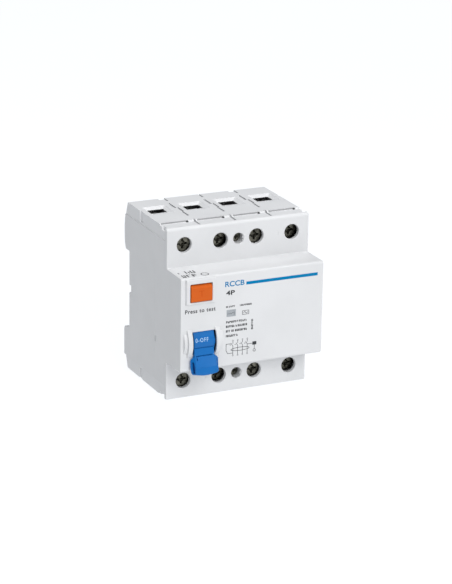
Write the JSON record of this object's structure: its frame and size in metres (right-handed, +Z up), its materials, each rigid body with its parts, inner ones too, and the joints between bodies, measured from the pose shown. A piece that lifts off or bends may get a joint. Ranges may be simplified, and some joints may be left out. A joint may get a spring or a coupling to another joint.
{
  "type": "residual current device",
  "caption": "Rail-mounted residual current device: pale moulded body with a stepped nose, blue toggle, orange test button, and a wire entry and screw clamp for every pole.",
  "frame": {"origin": "centre of the face that seats on the DIN rail", "axes": "+Y into the rail, -Y out of the front face, +Z up with the line terminals, +X to the right of someone who faces the toggle"},
  "size_m": [0.0712, 0.0716, 0.0836],
  "materials": {
    "housing": "fine matte",
    "cap": "fine matte",
    "inner_plastic": "dull",
    "toggle_blue": "satin",
    "button_orange": "satin",
    "clip_plastic": "fine matte",
    "steel": "zinc plated",
    "spring_steel": "bright",
    "copper": "bare copper",
    "board": "solder mask",
    "resistor": "lacquered"
  },
  "bodies": {
    "housing": {"base_housing": "housing", "front_cover": "housing", "terminal_cap_top": "cap", "terminal_cap_bottom": "cap", "terminal_frame_top": "inner_plastic", "terminal_frame_bottom": "inner_plastic", "cover_screw_top": "steel", "cover_screw_bottom": "steel", "transformer_core": "steel", "secondary_winding": "copper", "trip_relay": "inner_plastic", "mechanism_frame": "steel", "toggle_pin": "steel", "toggle_spring": "spring_steel", "latch_pin": "steel", "latch_spring": "spring_steel", "trip_pin": "steel", "test_resistor": "resistor", "circuit_board": "board", "din_clip_spring_left": "spring_steel", "din_clip_spring_right": "spring_steel", "line_contact_1": "copper", "load_conductor_1": "copper", "line_contact_2": "copper", "load_conductor_2": "copper", "line_contact_3": "copper", "load_conductor_3": "copper", "line_contact_4": "copper", "load_conductor_4": "copper"},
    "toggle": {"toggle_lever": "toggle_blue"},
    "link": {"toggle_link": "spring_steel"},
    "latch": {"latch_lever": "steel"},
    "trip": {"trip_lever": "steel"},
    "plunger": {"relay_plunger": "steel"},
    "carrier": {"contact_carrier": "inner_plastic", "moving_contact_1": "copper", "moving_contact_2": "copper", "moving_contact_3": "copper", "moving_contact_4": "copper"},
    "button": {"test_button": "button_orange"},
    "leaf": {"test_leaf": "spring_steel"},
    "clip_left": {"din_clip_left": "clip_plastic"},
    "clip_right": {"din_clip_right": "clip_plastic"},
    "screw_top_1": {"terminal_screw_top_1": "steel"},
    "cage_top_1": {"terminal_cage_top_1": "steel"},
    "screw_top_2": {"terminal_screw_top_2": "steel"},
    "cage_top_2": {"terminal_cage_top_2": "steel"},
    "screw_top_3": {"terminal_screw_top_3": "steel"},
    "cage_top_3": {"terminal_cage_top_3": "steel"},
    "screw_top_4": {"terminal_screw_top_4": "steel"},
    "cage_top_4": {"terminal_cage_top_4": "steel"},
    "screw_bottom_1": {"terminal_screw_bottom_1": "steel"},
    "cage_bottom_1": {"terminal_cage_bottom_1": "steel"},
    "screw_bottom_2": {"terminal_screw_bottom_2": "steel"},
    "cage_bottom_2": {"terminal_cage_bottom_2": "steel"},
    "screw_bottom_3": {"terminal_screw_bottom_3": "steel"},
    "cage_bottom_3": {"terminal_cage_bottom_3": "steel"},
    "screw_bottom_4": {"terminal_screw_bottom_4": "steel"},
    "cage_bottom_4": {"terminal_cage_bottom_4": "steel"}
  },
  "joints": [
    {"name": "toggle_hinge", "type": "hinge", "parent": "housing", "child": "toggle", "pos_m": [-0.0245, -0.0523, -0.0089], "axis": [-1, 0, 0], "range_deg": [0, 50]},
    {"name": "link_hinge", "type": "hinge", "parent": "toggle", "child": "link", "pos_m": [-0.0247, -0.0544, -0.0044], "axis": [-1, 0, 0], "range_deg": [-50, 0]},
    {"name": "latch_hinge", "type": "hinge", "parent": "housing", "child": "latch", "pos_m": [-0.028, -0.034, -0.009], "axis": [-1, 0, 0], "range_deg": [0, 45.1]},
    {"name": "carrier_hinge", "type": "hinge", "parent": "housing", "child": "carrier", "pos_m": [0, -0.027, 0.003], "axis": [-1, 0, 0], "range_deg": [0, 13.1]},
    {"name": "plunger_slide", "type": "slide", "parent": "housing", "child": "plunger", "axis": [0, -1, 0], "range_m": [0, 0.0015]},
    {"name": "trip_hinge", "type": "hinge", "parent": "housing", "child": "trip", "pos_m": [-0.0245, -0.0327, -0.017], "axis": [1, 0, 0], "range_deg": [0, 15]},
    {"name": "button_slide", "type": "slide", "parent": "housing", "child": "button", "axis": [0, 1, 0], "range_m": [0, 0.0022], "stiffness_N_per_m": 400, "springref_m": -0.002},
    {"name": "leaf_hinge", "type": "hinge", "parent": "housing", "child": "leaf", "pos_m": [-0.012, -0.0517, 0.015], "axis": [0, 0, -1], "range_deg": [0, 8.7]},
    {"name": "clip_left_slide", "type": "slide", "parent": "housing", "child": "clip_left", "axis": [0, 0, -1], "range_m": [0, 0.0045], "stiffness_N_per_m": 600, "springref_m": -0.003, "deforming": ["din_clip_spring_left"]},
    {"name": "clip_right_slide", "type": "slide", "parent": "housing", "child": "clip_right", "axis": [0, 0, -1], "range_m": [0, 0.0045], "stiffness_N_per_m": 600, "springref_m": -0.003, "deforming": ["din_clip_spring_right"]},
    {"name": "screw_top_1_turn", "type": "hinge", "parent": "housing", "child": "screw_top_1", "pos_m": [-0.027, -0.0413, 0.0326], "axis": [0, 1, 0], "range_deg": [0, 3140]},
    {"name": "cage_top_1_slide", "type": "slide", "parent": "housing", "child": "cage_top_1", "axis": [0, -1, 0], "range_m": [0, 0.00697]},
    {"name": "screw_top_2_turn", "type": "hinge", "parent": "housing", "child": "screw_top_2", "pos_m": [-0.009, -0.0401, 0.0326], "axis": [0, 1, 0], "range_deg": [0, 3140]},
    {"name": "cage_top_2_slide", "type": "slide", "parent": "housing", "child": "cage_top_2", "axis": [0, -1, 0], "range_m": [0, 0.00697]},
    {"name": "screw_top_3_turn", "type": "hinge", "parent": "housing", "child": "screw_top_3", "pos_m": [0.009, -0.0411, 0.0326], "axis": [0, 1, 0], "range_deg": [0, 3140]},
    {"name": "cage_top_3_slide", "type": "slide", "parent": "housing", "child": "cage_top_3", "axis": [0, -1, 0], "range_m": [0, 0.00697]},
    {"name": "screw_top_4_turn", "type": "hinge", "parent": "housing", "child": "screw_top_4", "pos_m": [0.027, -0.0401, 0.0326], "axis": [0, 1, 0], "range_deg": [0, 3140]},
    {"name": "cage_top_4_slide", "type": "slide", "parent": "housing", "child": "cage_top_4", "axis": [0, -1, 0], "range_m": [0, 0.00697]},
    {"name": "screw_bottom_1_turn", "type": "hinge", "parent": "housing", "child": "screw_bottom_1", "pos_m": [-0.027, -0.0413, -0.0326], "axis": [0, 1, 0], "range_deg": [0, 3140]},
    {"name": "cage_bottom_1_slide", "type": "slide", "parent": "housing", "child": "cage_bottom_1", "axis": [0, -1, 0], "range_m": [0, 0.00697]},
    {"name": "screw_bottom_2_turn", "type": "hinge", "parent": "housing", "child": "screw_bottom_2", "pos_m": [-0.009, -0.0401, -0.0326], "axis": [0, 1, 0], "range_deg": [0, 3140]},
    {"name": "cage_bottom_2_slide", "type": "slide", "parent": "housing", "child": "cage_bottom_2", "axis": [0, -1, 0], "range_m": [0, 0.00697]},
    {"name": "screw_bottom_3_turn", "type": "hinge", "parent": "housing", "child": "screw_bottom_3", "pos_m": [0.009, -0.0411, -0.0326], "axis": [0, 1, 0], "range_deg": [0, 3140]},
    {"name": "cage_bottom_3_slide", "type": "slide", "parent": "housing", "child": "cage_bottom_3", "axis": [0, -1, 0], "range_m": [0, 0.00697]},
    {"name": "screw_bottom_4_turn", "type": "hinge", "parent": "housing", "child": "screw_bottom_4", "pos_m": [0.027, -0.0401, -0.0326], "axis": [0, 1, 0], "range_deg": [0, 3140]},
    {"name": "cage_bottom_4_slide", "type": "slide", "parent": "housing", "child": "cage_bottom_4", "axis": [0, -1, 0], "range_m": [0, 0.00697]}
  ],
  "couplings": [
    {"joint": "link_hinge", "follows": "toggle_hinge", "ratio": -0.9866},
    {"joint": "latch_hinge", "follows": "toggle_hinge", "ratio": 0.9},
    {"joint": "carrier_hinge", "follows": "toggle_hinge", "ratio": 0.26},
    {"joint": "trip_hinge", "follows": "plunger_slide", "rad_per_m": 173.3},
    {"joint": "leaf_hinge", "follows": "button_slide", "rad_per_m": 68.2},
    {"joint": "screw_top_1_turn", "follows": "cage_top_1_slide", "rad_per_m": 7854},
    {"joint": "screw_top_2_turn", "follows": "cage_top_2_slide", "rad_per_m": 7854},
    {"joint": "screw_top_3_turn", "follows": "cage_top_3_slide", "rad_per_m": 7854},
    {"joint": "screw_top_4_turn", "follows": "cage_top_4_slide", "rad_per_m": 7854},
    {"joint": "screw_bottom_1_turn", "follows": "cage_bottom_1_slide", "rad_per_m": 7854},
    {"joint": "screw_bottom_2_turn", "follows": "cage_bottom_2_slide", "rad_per_m": 7854},
    {"joint": "screw_bottom_3_turn", "follows": "cage_bottom_3_slide", "rad_per_m": 7854},
    {"joint": "screw_bottom_4_turn", "follows": "cage_bottom_4_slide", "rad_per_m": 7854}
  ]
}
